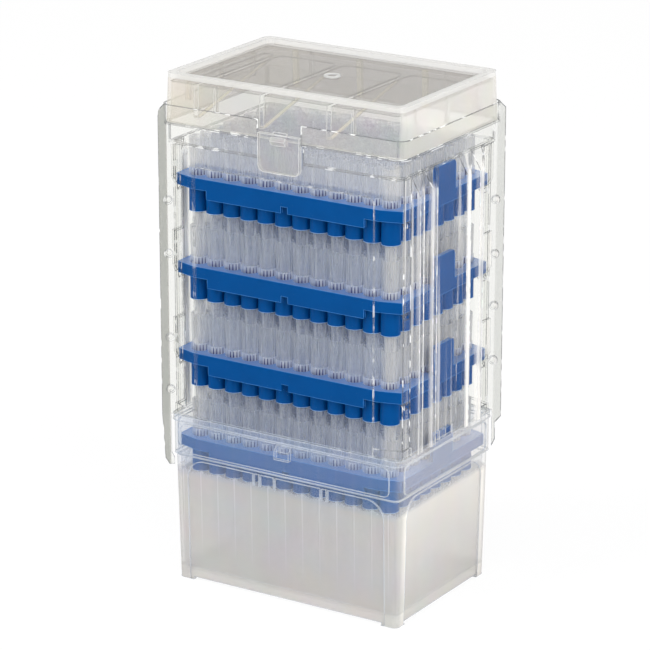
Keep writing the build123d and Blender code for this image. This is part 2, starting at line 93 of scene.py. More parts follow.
# Sizes of a tip, and the places of a row's tips along X
TIP_MOUTH = (row_high.y - row_low.y) / 2  # radius
FIRST_TIP = row_low.x + TIP_MOUTH
PITCH = (row_high.x - row_low.x - 2 * TIP_MOUTH) / (COLUMNS - 1)
TIP_HEAD = 17.0 * MM  # from the foot of the seat ring to the mouth
TIP_SEAT = 3.4 * MM  # height of the seat ring
TIP_NOSE = 9.0 * MM  # length of the narrow nose
TIP_WALL = 0.6 * MM
TIP_BODY = 3.5 * MM  # radius just under the seat
TIP_NOSE_TOP = 1.35 * MM  # radius
TIP_POINT = 0.9 * MM  # radius
WALL_FINISH, RIB_FINISH, SEAT_FINISH = 0, 1, 2
SEAT_BANDS = (2, 3, 4)  # of a tip's outline, each named by the point that it starts from

CRISP = 0.25 * MM  # blend at a crisp border between two finishes
SHORTEST_FOLD = 0.2 * MM
BOX_MARGIN = 0.001 * MM
TINY = 1e-12  # a length in metres, or an area in square metres, that counts as none

# A bar's faces, with corners 0 to 3 round its start and 4 to 7 round its end
BAR_FACES = (
    (0, 1, 5, 4), (1, 2, 6, 5), (2, 3, 7, 6), (3, 0, 4, 7), (0, 3, 2, 1), (4, 5, 6, 7),
)

# Sockets of the Mix node for colours, whose names are shared by its other kinds of data
MIX_FACTOR, MIX_FIRST, MIX_SECOND, MIX_RESULT = 0, 6, 7, 2


# ---------------------------------------------------------------- shader maths
class Value:
    """One output of a shader node, with the arithmetic that builds Math nodes from it."""

    def __init__(self, shader, socket):
        self.shader = shader
        self.socket = socket

    def math(self, operation, *others, clamp=False):
        """Apply a Math operation to this value and the others, in that order."""
        return self.shader.math(operation, self, *others, clamp=clamp)

    def __add__(self, other):
        return self.math("ADD", other)

    def __sub__(self, other):
        return self.math("SUBTRACT", other)

    def __rsub__(self, other):
        return self.shader.math("SUBTRACT", other, self)

    def __mul__(self, other):
        return self.math("MULTIPLY", other)

    def __truediv__(self, other):
        return self.math("DIVIDE", other)

    def __pow__(self, other):
        return self.math("POWER", other)

    __radd__ = __add__
    __rmul__ = __mul__

    def clamped(self):
        """The value held between 0 and 1."""
        return self.math("ADD", 0.0, clamp=True)

    def magnitude(self):
        """The value without its sign."""
        return self.math("ABSOLUTE")

    def over(self, start, blend):
        """0 up to a start, and from there rising to 1 over a blend."""
        return ((self - start) / blend).clamped()

    def under(self, start, blend):
        """0 down to a start, and from there rising to 1 over a blend."""
        return ((start - self) / blend).clamped()

    def other(self, name):
        """Another output of the same node."""
        return Value(self.shader, self.socket.node.outputs[name])


class Shader:
    """A material under construction, with one method that adds any node."""

    def __init__(self, name, tree=None):
        self.material = None
        if tree is None:
            self.material = bpy.data.materials.new(name)
            self.material.use_nodes = True
            tree = self.material.node_tree
        self.tree = tree
        self.tree.nodes.clear()

    def node(self, kind, settings=None, inputs=None, output=0):
        """Add a node: its settings first, then each socket's value or link; returns one output."""
        made = self.tree.nodes.new(kind)
        for key, setting in (settings or {}).items():
            setattr(made, key, setting)
        for key, given in (inputs or {}).items():
            if isinstance(given, Value):
                self.tree.links.new(given.socket, made.inputs[key])
            else:
                made.inputs[key].default_value = given
        return Value(self, made.outputs[output]) if len(made.outputs) else None

    def math(self, operation, *values, clamp=False):
        """Add a Math node."""
        settings = {"operation": operation, "use_clamp": clamp}
        return self.node("ShaderNodeMath", settings, dict(enumerate(values)))

    def mix_colour(self, factor, first, second):
        """Blend two colours."""
        inputs = {MIX_FACTOR: factor, MIX_FIRST: first, MIX_SECOND: second}
        return self.node("ShaderNodeMix", {"data_type": "RGBA"}, inputs, MIX_RESULT)

    def mix_shader(self, factor, first, second):
        """Blend two closures."""
        return self.node("ShaderNodeMixShader", inputs={0: factor, 1: first, 2: second})

    def place(self):
        """Object coordinates, in metres."""
        return self.node("ShaderNodeTexCoord", output="Object")

    def noise(self, size, detail=2.0, place=None):
        """Noise whose features are about the given size, in metres."""
        inputs = {"Vector": place or self.place(), "Scale": 1.0 / size, "Detail": detail}
        return self.node("ShaderNodeTexNoise", inputs=inputs)

    def axis(self, index):
        """One coordinate, in metres."""
        return self.node("ShaderNodeSeparateXYZ", inputs={"Vector": self.place()}, output=index)

    def facing(self):
        """0 where the surface faces the viewer, 1 at its outline."""
        return self.node("ShaderNodeLayerWeight", inputs={"Blend": 0.5}, output="Facing")

    def reflection(self, square_on, most=1.0):
        """Share of light that a skin reflects: low square on, rising with the fifth power to its most."""
        return self.facing() ** 5.0 * (most - square_on) + square_on

    def streaks(self, width, least, steepness):
        """Upright streaks: noise drawn out fifty times along Z, rising to 1 past its least value."""
        inputs = {"Vector": self.place(), "Scale": (1.0, 1.0, 0.02)}
        drawn = self.node("ShaderNodeMapping", {"vector_type": "POINT"}, inputs)
        return ((self.noise(width, 1.0, drawn) - least) * steepness).clamped()

    def noise_colour(self, size):
        """Coloured noise whose features are about the given size, in metres."""
        return self.noise(size, 1.0).other("Color")

    def unlit(self, shadow, bounced):
        """What is left of a share for rays that only carry light inwards."""
        path = self.node("ShaderNodeLightPath")
        return 1.0 - path.other("Is Shadow Ray") * shadow - path.other("Is Diffuse Ray") * bounced

    def seen(self):
        """1 for rays that show a surface: to the camera, mirrored or let through."""
        path = self.node("ShaderNodeLightPath", output="Is Camera Ray")
        return (path + path.other("Is Glossy Ray") + path.other("Is Transmission Ray")).clamped()

    def lit_both_sides(self, colour, roughness, through, share):
        """A thin milky wall: a share of its light, of one colour, comes through from its far side."""
        inputs = {"Base Color": colour, "Roughness": roughness, "Specular IOR Level": 0.2}
        near = self.node("ShaderNodeBsdfPrincipled", inputs=inputs)
        if not share:
            return near
        far = self.node("ShaderNodeBsdfTranslucent", inputs={"Color": through})
        return self.mix_shader(share, near, far)

    def off_tip(self):
        """How far along X a point is from the middle of the nearest tip."""
        return self.math("PINGPONG", self.axis(0) - FIRST_TIP, PITCH / 2)

    def facing_along(self, index):
        """1 on faces whose normal lies along one axis, and 0 on the others."""
        normal = self.node("ShaderNodeNewGeometry", output="Normal")
        part = self.node("ShaderNodeSeparateXYZ", inputs={"Vector": normal}, output=index)
        return part.magnitude().over(0.8, 0.05)

    def below(self, height, blend):
        """1 below a height and 0 above it, in a step that is soft over the blend."""
        return ((height - self.axis(2)) / blend + 0.5).clamped()

    def bump(self, height, distance, strength=1.0):
        """Turn a height into a normal."""
        inputs = {"Height": height, "Distance": distance, "Strength": strength}
        return self.node("ShaderNodeBump", inputs=inputs)

    def finish(self, closure):
        """Send a closure to the output and hand back the material."""
        kind = "ShaderNodeOutputWorld" if self.material is None else "ShaderNodeOutputMaterial"
        self.node(kind, inputs={"Surface": closure})
        return self.material


def rgb(red, green, blue):
    """A linear colour from the eye's 0-255 scale, by the usual power curve with its short foot."""
    share = np.array((red, green, blue)) / 255.0
    linear = np.where(share <= 0.04045, share / 12.92, ((share + 0.055) / 1.055) ** 2.4)
    return (*linear.tolist(), 1.0)


def clear_plastic(name, body, haze, edge, skin=0.02, most=1.0, power=4.0, roughness=0.08,
                  tint=WHITE, ripple=0.0, milky=0.0):
    """Thin clear plastic: light passes straight on, the skin reflects, and the outline greys.

    The share of the solid colour is haze at a surface seen square on, and rises by edge with a
    power of the facing value. Body and haze may be functions that give the colour or the share
    over the surface. Skin and most are the least and the most that the surface reflects, and
    ripple is the height of its waves. Milky is how much of the solid's light comes through from
    its far side. Lamps shine through it, so what stands inside is lit.
    """
    shader = Shader(name)
    bend = {}
    if ripple:
        bend = {"Normal": shader.bump(shader.noise(6 * MM, 1.0), ripple)}
    through = shader.node("ShaderNodeBsdfTransparent", inputs={"Color": tint})
    gloss = shader.node("ShaderNodeBsdfGlossy", inputs={"Roughness": roughness, **bend})
    clear = shader.mix_shader(shader.reflection(skin, most), through, gloss)
    colour = body(shader) if callable(body) else body
    solid = shader.lit_both_sides(colour, 0.4, rgb(214, 212, 208), milky)
    base = haze(shader) if callable(haze) else haze
    share = (shader.facing() ** power * edge + base).clamped() * shader.unlit(0.85, 0.6)
    return shader.finish(shader.mix_shader(share, clear, solid))


def tip_plastic(settings):
    """Clear moulded tip: painted highlights brighten its outline and run along it as lines over grey
    blue, and the outermost tips are painted lighter and warmer, as lit through the end walls.
    """
    shader = Shader("tip_plastic")
    # Painted highlights: the brighter outline and the pale streaks stand for light refracted by the tips'
    # walls.
    edge = shader.facing() ** 2.0
    fine = shader.streaks(0.6 * MM, 0.47, 8.0)
    pale = (edge * 0.8 + fine * 0.6).clamped()
    colour = shader.mix_colour(pale, settings.shade, settings.pale)
    # Painted light: the outermost tips, lit through the end walls, turn lighter, warmer and a little more
    # solid.
    ends = shader.axis(0).magnitude().over(DECK_END - 12.5 * MM, 4 * MM)
    colour = shader.mix_colour(ends * 0.8, colour, settings.painted_end_light)
    solid = shader.lit_both_sides(colour, 0.35, rgb(222, 225, 232), 0.5)
    through = shader.node("ShaderNodeBsdfTransparent", inputs={"Color": (0.985, 0.989, 0.996, 1.0)})
    share = (edge * 0.28 + fine * 0.12 + ends * 0.12 + 0.12).clamped() * shader.unlit(0.92, 0.8)
    return shader.finish(shader.mix_shader(share, through, solid))


def tip_seat():
    """The thick seat of a tip and the wall just under it, milkier than the rest, with streaks of painted
    highlight.
    """
    shader = Shader("tip_seat")
    fine = shader.streaks(0.6 * MM, 0.47, 8.0)
    colour = shader.mix_colour(fine, rgb(190, 200, 226), rgb(250, 251, 255))
    solid = shader.lit_both_sides(colour, 0.35, rgb(214, 220, 236), 0.5)
    through = shader.node("ShaderNodeBsdfTransparent")
    share = (fine * 0.1 + 0.5) * shader.unlit(0.92, 0.8)
    return shader.finish(shader.mix_shader(share, through, solid))


def tip_rib(settings):
    """Seat rib of a tip: a dark line where it is seen square on, and clear elsewhere."""
    shader = Shader("tip_rib")
    inputs = {"Base Color": settings.rib_colour, "Roughness": 0.4}
    solid = shader.node("ShaderNodeBsdfPrincipled", inputs=inputs)
    through = shader.node("ShaderNodeBsdfTransparent")
    near = 1.0 - shader.node("ShaderNodeNewGeometry", output="Backfacing")
    share = shader.facing().under(0.3, 0.0833) * near * shader.unlit(1.0, 1.0)
    return shader.finish(shader.mix_shader(share, through, solid))


def glinting_line(name, dull, share, glint_share, tint=0.0):
    """A fold of clear plastic: a thin dull line that breaks into glints, white or faintly tinted."""
    shader = Shader(name)
    glint = shader.noise(4 * MM, 0.0).over(0.58, 0.0714)
    bright = WHITE
    if tint:
        bright = shader.mix_colour(tint, bright, shader.noise_colour(9 * MM))
    colour = shader.mix_colour(glint, dull, bright)
    solid = shader.node("ShaderNodeBsdfPrincipled", inputs={"Base Color": colour, "Roughness": 0.2})
    through = shader.node("ShaderNodeBsdfTransparent")
    amount = (glint * glint_share + share).clamped() * shader.unlit(1.0, 1.0)
    return shader.finish(shader.mix_shader(amount, through, solid))


# ---------------------------------------------------------------- surfaces
def make_mesh(name, points, quads, materials, material_index=None):
    """A smooth mesh object from whole arrays of points and quads."""
    mesh = bpy.data.meshes.new(name)
    mesh.vertices.add(len(points))
    mesh.vertices.foreach_set("co", points.astype(np.float32).ravel())
    mesh.loops.add(quads.size)
    mesh.loops.foreach_set("vertex_index", quads.astype(np.int32).ravel())
    mesh.polygons.add(len(quads))
    mesh.polygons.foreach_set("loop_start", np.arange(0, quads.size, 4, dtype=np.int32))
    mesh.polygons.foreach_set("use_smooth", np.ones(len(quads), dtype=bool))
    if material_index is not None:
        mesh.polygons.foreach_set("material_index", material_index.astype(np.int32))
    for material in materials:
        mesh.materials.append(material)
    mesh.update(calc_edges=True)
    mesh.validate()
    piece = bpy.data.objects.new(name, mesh)
    bpy.context.scene.collection.objects.link(piece)
    return piece


def read_triangles(node):
    """A CAD node's triangles and its points, merged to a micrometre, as whole arrays."""
    mesh = node.data
    points = np.empty(len(mesh.vertices) * 3, dtype=np.float32)
    mesh.vertices.foreach_get("co", points)
    corners = np.empty(len(mesh.loops), dtype=np.int32)
    mesh.loops.foreach_get("vertex_index", corners)
    merged, where = np.unique(np.round(points.reshape(-1, 3), 6), axis=0, return_inverse=True)
    triangles = where.ravel()[corners].reshape(-1, 3)
    return merged.astype(float), triangles


def fold_edges(points, triangles, least_turn):
    """The edges where two faces meet at more than an angle: their ends and mean normals.

    Each triangle's normal is the cross product of two of its sides. Edges are paired by sorting
    their two point numbers, and the cosine of the turn is the dot product of the two normals.
    """
    sides = points[triangles]
    normals = np.cross(sides[:, 1] - sides[:, 0], sides[:, 2] - sides[:, 0])
    area = np.linalg.norm(normals, axis=1)
    normals /= np.maximum(area, TINY)[:, None]
    edges = np.vstack([triangles[:, (0, 1)], triangles[:, (1, 2)], triangles[:, (2, 0)]])
    edges = np.sort(edges, axis=1)
    owner = np.tile(np.arange(len(triangles)), 3)
    order = np.lexsort((edges[:, 1], edges[:, 0]))
    edges, owner = edges[order], owner[order]
    paired = np.flatnonzero((edges[1:] == edges[:-1]).all(axis=1))
    first, second = normals[owner[paired]], normals[owner[paired + 1]]
    turned = (first * second).sum(axis=1) < math.cos(least_turn)
    solid = (area[owner[paired]] > TINY) & (area[owner[paired + 1]] > TINY)
    keep = paired[turned & solid]
    start, end = points[edges[keep, 0]], points[edges[keep, 1]]
    outward = (first + second)[turned & solid]
    return start, end, outward


def fold_lines(name, node, least_turn, kinds, pick=None):
    """Rounded folds of a moulding: a slim four-sided bar along every sharp edge of a node.

    Kinds lists (radius, material), and pick gives each edge's kind from its middle, direction
    and length, or -1 for no bar. A bar's corners lie one radius out from the edge, along two
    directions square to it, and its ends reach half a radius past the edge's. The points are
    held within the pack's own box.
    """
    start, end, outward = fold_edges(*read_triangles(node), least_turn)
    along = end - start
    length = np.linalg.norm(along, axis=1)
    along /= np.maximum(length, TINY)[:, None]
    kind = pick((start + end) / 2, along, length) if pick else np.zeros(len(start), dtype=int)
    keep = (length > SHORTEST_FOLD) & (kind >= 0)
    start, end, outward, along, kind = (part[keep] for part in (start, end, outward, along, kind))
    radius = np.array([size for size, material in kinds])[kind][:, None, None]
    across = np.cross(along, outward)
    across /= np.maximum(np.linalg.norm(across, axis=1), TINY)[:, None]
    up = np.cross(across, along)
    ring = np.stack([across, up, -across, -up], axis=1) * radius
    reach = along[:, None] * radius * 0.5
    points = np.stack([start[:, None] - reach + ring, end[:, None] + reach + ring], axis=1)
    points = points.reshape(-1, 3)
    points = points.clip(np.array(cad_low) + BOX_MARGIN, np.array(cad_high) - BOX_MARGIN)
    corners = 8 * np.arange(len(start))[:, None, None]
    quads = (np.array(BAR_FACES)[None] + corners).reshape(-1, 4)
    materials = [material for size, material in kinds]
    return make_mesh(name, points, quads, materials, np.repeat(kind, len(BAR_FACES)))


# ---------------------------------------------------------------- settings
def colour_setting(name, description, default):
    """A colour that the sidebar shows."""
    return bpy.props.FloatVectorProperty(
        name=name, description=description, subtype="COLOR", size=4, min=0, max=1, default=default,
    )


class DeckSettings(bpy.types.PropertyGroup):
    """Finish of the blue decks."""

    colour: colour_setting("Blue", "Colour of the moulded decks", rgb(0, 68, 132))
    worn: colour_setting("Worn blue", "Blue that the deck's colour drifts to", rgb(0, 76, 145))
    # Painted top light: the paler blue of the faces lit from above
    flat: colour_setting("Level faces", "Paler blue of the level faces", rgb(112, 150, 212))
    grain: bpy.props.FloatProperty(
        name="Grain", description="Height of the mould's fine grain", default=0.02 * MM,
        unit="LENGTH", precision=6,
    )


class TipSettings(bpy.types.PropertyGroup):
    """Sizes and finish of the tips."""

    sides: bpy.props.IntProperty(
        name="Sides", description="Faces around one tip", default=10, min=8, max=32,
    )
    rib_count: bpy.props.IntProperty(
        name="Ribs", description="Seat ribs around one tip", default=18, min=4, max=32,
    )
    rib_height: bpy.props.FloatProperty(
        name="Rib height", description="Length of a seat rib above the deck", default=2.9 * MM,
        unit="LENGTH",
    )
    rib_width: bpy.props.FloatProperty(
        name="Rib width", description="Width of a seat rib at its foot", default=0.52 * MM,
        unit="LENGTH",
    )
    rib_colour: colour_setting("Rib colour", "Dark blue of the seat ribs", rgb(20, 26, 92))
    # Painted highlights of a tip's outline and streaks
    pale: colour_setting("Pale lines", "Colour of a tip's pale lines", rgb(252, 253, 255))
    shade: colour_setting("Shade", "Grey blue between the pale lines", rgb(180, 187, 202))
    # Painted light on the outermost tips, lit through the end walls
    painted_end_light: colour_setting("Outer tips", "Warmer white of the outermost tips", rgb(246, 241, 232))


class BaseSettings(bpy.types.PropertyGroup):
    """Finish of the hazy rack base."""

    # The long walls' grey is partly painted shade; the end walls' paler, warmer white is painted light
    wall: colour_setting("Long walls", "Colour of the long walls", rgb(190, 187, 183))
    end_wall: colour_setting("End walls", "Colour of the end walls", rgb(250, 245, 236))
    post: colour_setting("Posts", "Colour of the end walls' corner posts", rgb(208, 205, 200))
    band: colour_setting("Deck's band", "Bluish colour round the deck", rgb(142, 165, 196))
    # Pale painted light between the tips
    line: colour_setting("Lines", "Colour of the lines between the tips", rgb(240, 240, 240))
    # Painted highlight of the folds
    edge: colour_setting("Edges", "Colour of the folds", rgb(226, 233, 242))


class SheathSettings(bpy.types.PropertyGroup):
    """Finish of the clear sheath."""

    tint: colour_setting("Tint", "Colour of the light that comes through", (0.968, 0.969, 0.962, 1))
    glint: colour_setting("Glints", "Off-white of the glints", rgb(246, 243, 238))
    # The left flange shows more of this grey, as painted shade
    flange: colour_setting("Flanges", "Grey of the corner flanges", rgb(166, 167, 162))
    # Painted shade at the film's outlines
    outline_shade: colour_setting("Cut edges", "Darker grey of the outlines", rgb(116, 120, 126))
    ripple: bpy.props.FloatProperty(
        name="Ripple", description="Height of the film's waves", default=0.02 * MM,
        unit="LENGTH", precision=6,
    )


class LidSettings(bpy.types.PropertyGroup):
    """Finish of the clear lid."""

    tint: colour_setting("Tint", "Colour of the light that comes through", (0.985, 0.98, 0.97, 1))
    # The long walls' grey is painted shade and the end walls' lighter colour painted light
    wall: colour_setting("Long walls", "Colour of the long walls", rgb(178, 176, 174))
    end_wall: colour_setting("End walls", "Colour of the end walls", rgb(240, 236, 228))
    cream: colour_setting("Left part", "Warmer colour towards the left", rgb(226, 218, 200))
    panel: colour_setting("Panel", "Beige grey of the sunk top panel", rgb(146, 139, 129))
    rim: colour_setting("Rim", "Off-white of the raised rim", rgb(232, 231, 228))
    # Painted reflection inside the clear braces
    brace: colour_setting("Braces", "Cream of the slanting braces", rgb(255, 250, 226))


class StageSettings(bpy.types.PropertyGroup):
    """Camera and light."""

    azimuth: bpy.props.FloatProperty(
        name="Azimuth", description="Angle of the view around the pack", default=math.radians(32.2),
        subtype="ANGLE",
    )
    elevation: bpy.props.FloatProperty(
        name="Elevation", description="Angle of the view above the floor",
        default=math.radians(18.2), subtype="ANGLE",
    )
    distance: bpy.props.FloatProperty(
        name="Distance", description="From the camera to the point it looks at", default=1.496,
        unit="LENGTH",
    )
    sideways: bpy.props.FloatProperty(
        name="Sideways", description="How far that point lies to the camera's right",
        default=-3.1 * MM, unit="LENGTH",
    )
    height: bpy.props.FloatProperty(
        name="Height", description="Height of that point", default=119.9 * MM, unit="LENGTH",
    )
    lens: bpy.props.FloatProperty(
        name="Lens", description="Focal length in millimetres", default=185.6, unit="CAMERA",
    )
    lamp_power: bpy.props.FloatProperty(
        name="Lamps", description="Power of each lamp", default=19.5, unit="POWER",
    )
    sky_strength: bpy.props.FloatProperty(
        name="Sky", description="Brightness of the surround that lights the pack", default=0.72,
        min=0, max=1, subtype="FACTOR",
    )
    floor: colour_setting("Floor", "Colour of the floor", rgb(244, 244, 244))


# ---------------------------------------------------------------- pieces
class TIPPACK_OT_decks(bpy.types.Operator):
    """Give the four decks their moulded blue, with painted light on the level faces and painted
    highlights along the edges.
    """

    bl_idname = "tippack.decks"
    bl_label = "Blue decks"

    def execute(self, context):
        settings = context.scene.tippack_decks
        shader = Shader("deck_blue")
        wear = shader.noise(9 * MM, 3.0)
        # Level faces are painted a paler blue, as lit from above, and also get a coat.
        flat = shader.facing_along(2)
        colour = shader.mix_colour(wear, settings.colour, settings.worn)
        colour = shader.mix_colour(flat * 0.8, colour, settings.flat)
        grain = shader.bump(shader.noise(0.5 * MM, 2.0), settings.grain, 0.5)
        inputs = {
            "Base Color": colour,
            "Roughness": shader.noise(3 * MM) * 0.12 + 0.30,
            "Normal": grain,
            "Specular IOR Level": 0.05,
            "Coat Weight": flat,
            "Coat Roughness": 0.12,
        }
        material = shader.finish(shader.node("ShaderNodeBsdfPrincipled", inputs=inputs))
        # Both bars are painted highlights where the rounded edges catch the light.
        kinds = (
            (0.12 * MM, self.edge("deck_edge_highlight", rgb(60, 128, 200))),
            (0.11 * MM, self.edge("sleeve_rim_highlight", rgb(150, 186, 228))),
        )
        for level in LEVELS:
            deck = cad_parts[f"deck_{level}"]
            deck.data.materials.clear()
            deck.data.materials.append(material)
            self.sleeve_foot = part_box(deck.name)[0].z
            name = f"deck_{level}_edges"
            edges = fold_lines(name, deck, math.radians(60), kinds, self.kind)
            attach(edges, "pack")
        return {"FINISHED"}

    def edge(self, name, colour):
        """A paler edge of the same plastic: a painted highlight where the rounded edge catches the light.
        """
        shader = Shader(name)
        inputs = {
            "Base Color": colour,
            "Roughness": shader.noise(3 * MM) * 0.1 + 0.35,
            "Specular IOR Level": 0.2,
        }
        return shader.finish(shader.node("ShaderNodeBsdfPrincipled", inputs=inputs))

    def kind(self, middle, along, length):
        """Painted highlight lines: blue ones on the long edges, and paler ones round the outer sleeves'
        lower rims.
        """
        x, y = np.abs(middle[:, :2]).T
        line, pale, none = 0, 1, -1
        outer = (y > DECK_SIDE - 12 * MM) | (x > DECK_END - 13 * MM)
        rim = outer & (middle[:, 2] < self.sleeve_foot + 0.05 * MM)
        return np.where(length > 3 * MM, line, np.where(rim, pale, none))


class TIPPACK_OT_tips(bpy.types.Operator):
    """Build the rows of tips as thin turned walls with seat ribs."""

    bl_idname = "tippack.tips"
    bl_label = "Tips"

    def execute(self, context):
        settings = context.scene.tippack_tips
        # in the order of WALL_FINISH, RIB_FINISH and SEAT_FINISH
        finishes = tip_plastic(settings), tip_rib(settings), tip_seat()
        for level in LEVELS:
            for letter in ROWS:
                node = f"tips_{level}_row_{letter}"
                piece = self.row(node, settings, finishes)
                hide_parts(node)
                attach(piece, "pack")
        return {"FINISHED"}

    def row(self, node, settings, finishes):
        """One row: the tip's closed outline turned about its axis, then repeated at the pitch.

        A point of the surface is (radius * cos(turn), radius * sin(turn), height), where radius
        and height run round the outline and turn goes once round the axis.
        """
        low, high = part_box(node)
        foot = high.z - TIP_HEAD
        seat = foot + TIP_SEAT
        radius_height = np.array([
            (TIP_MOUTH, high.z),
            (TIP_MOUTH - 0.3 * MM, seat),
            (TIP_MOUTH, seat),
            (TIP_MOUTH, foot),
            (TIP_BODY, foot),
            (TIP_BODY - 0.25 * MM, foot - 6.0 * MM),
            (TIP_NOSE_TOP, low.z + TIP_NOSE),
            (TIP_POINT, low.z),
            (TIP_POINT / 2, low.z),
            (TIP_BODY - TIP_WALL, foot),
            (TIP_MOUTH - TIP_WALL, high.z),
        ])
        rings = len(radius_height)
        sides = settings.sides
        turn = np.arange(sides) * 2 * np.pi / sides
        radius = radius_height[:, :1]
        points = np.stack([
            radius * np.cos(turn),
            radius * np.sin(turn),
            np.broadcast_to(radius_height[:, 1:], (rings, sides)),
        ], axis=-1).reshape(-1, 3)
        ring, side = np.meshgrid(np.arange(rings), np.arange(sides), indexing="ij")
        after_ring, after_side = (ring + 1) % rings, (side + 1) % sides
        quads = np.stack([
            ring * sides + side,
            after_ring * sides + side,
            after_ring * sides + after_side,
            ring * sides + after_side,
        ], axis=-1).reshape(-1, 4)
        kinds = np.where(np.isin(ring.ravel(), SEAT_BANDS), SEAT_FINISH, WALL_FINISH)
        rib_points, rib_quads = self.ribs(settings, foot)
        quads = np.vstack([quads, rib_quads + len(points)])
        points = np.vstack([points, rib_points])
        across = FIRST_TIP + PITCH * np.arange(COLUMNS)
        deep = np.full(COLUMNS, low.y + TIP_MOUTH)
        shift = np.stack([across, deep, np.zeros(COLUMNS)], axis=-1)
        all_points = (points[None] + shift[:, None]).reshape(-1, 3)
        all_quads = (quads[None] + len(points) * np.arange(COLUMNS)[:, None, None]).reshape(-1, 4)
        kinds = np.tile(np.concatenate([kinds, np.full(len(rib_quads), RIB_FINISH)]), COLUMNS)
        return make_mesh(node + "_look", all_points, all_quads, finishes, kinds)

    def ribs(self, settings, foot):
        """Seat ribs: the outer face of one wedge, turned about the axis at equal angles."""
        half, half_top = settings.rib_width / 2, settings.rib_width * 0.3
        outer = TIP_MOUTH + 0.06 * MM
        base, top = foot + 0.2 * MM, foot + settings.rib_height
        corner = np.array([
            (outer, -half, base), (outer, half, base), (outer, half_top, top), (outer, -half_top, top),
        ])
        turn = np.arange(settings.rib_count) * 2 * np.pi / settings.rib_count
        cos, sin = np.cos(turn)[:, None], np.sin(turn)[:, None]
        points = np.stack([
            corner[:, 0] * cos - corner[:, 1] * sin,
            corner[:, 0] * sin + corner[:, 1] * cos,
            np.broadcast_to(corner[:, 2], (settings.rib_count, 4)),
        ], axis=-1).reshape(-1, 3)
        return points, np.arange(4 * settings.rib_count).reshape(-1, 4)


class TIPPACK_OT_base(bpy.types.Operator):
    """Give the rack base its hazy plastic."""

    bl_idname = "tippack.base"
    bl_label = "Rack base"

    def execute(self, context):
        self.settings = context.scene.tippack_base
        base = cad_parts["base_box"]
        material = clear_plastic("hazy_plastic", self.body, self.haze, 0.3, roughness=0.22)
        base.data.materials.clear()
        base.data.materials.append(material)
        # The folds' paler colour is a painted highlight of the rounded edges.
        edges = clear_plastic("base_edge_highlight", self.settings.edge, 0.3, 0.2, roughness=0.2)
        folds = fold_lines("base_folds", base, math.radians(25), ((0.17 * MM, edges),))
        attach(folds, "pack")
        return {"FINISHED"}

    def ends(self, shader):
        """1 on the end walls and 0 on the long ones."""
        return shader.axis(0).magnitude().over(DECK_END - 1 * MM, 1.67 * MM)

    def haze(self, shader):
        """Frosted below a line that dips round each sleeve, clearer on the rim, denser on the skirt."""
        ends = self.ends(shader)
        off = shader.off_tip()
        frosted = shader.below(off * off * 70.0 + SLEEVE_FOOT + 0.5 * MM, 1.2 * MM)
        long_wall = frosted * 0.28 + 0.14
        end_wall = shader.below(SLEEVE_FOOT + 0.9 * MM, 3 * MM) * 0.44 + 0.16
        skirt = shader.axis(2).under(BASE_FLOOR + 0.5 * MM, 1 * MM) * 0.3
        lines = self.lines(shader) * frosted * 0.06
        return long_wall * (1.0 - ends) + end_wall * ends + skirt + lines

    def lines(self, shader):
        """Thin upright lines between the tips that stand behind the long walls, fading downwards: painted
        light that shows through the gaps between the tips.
        """
        thin = (PITCH / 2 - shader.off_tip()).under(0.5 * MM, 0.5 * MM)
        fade = shader.axis(2).over(2 * BASE_FLOOR, 34 * MM)
        return thin * fade * (1.0 - self.ends(shader))

    def body(self, shader):
        """Grey white, with the long walls greyer as painted shade and the end walls lighter and warmer as
        painted light; bluish round the deck, with faint pastel patches and pale lines of painted light
        between the tips.
        """
        settings = self.settings
        band = (1.0 - shader.below(SLEEVE_FOOT + 1.9 * MM, 8 * MM)) * (1.0 - self.ends(shader))
        posts = shader.axis(1).magnitude().over(DECK_SIDE - 4.5 * MM, 2.5 * MM)
        end_wall = shader.mix_colour(posts, settings.end_wall, settings.post)
        # End walls painted lighter and warmer as lit, long walls greyer as painted shade.
        plain = shader.mix_colour(self.ends(shader), settings.wall, end_wall)
        plain = shader.mix_colour(band, plain, settings.band)
        # Pale painted light between the tips.
        plain = shader.mix_colour(self.lines(shader) * 0.3, plain, settings.line)
        return shader.mix_colour(0.07, plain, shader.noise_colour(16 * MM))


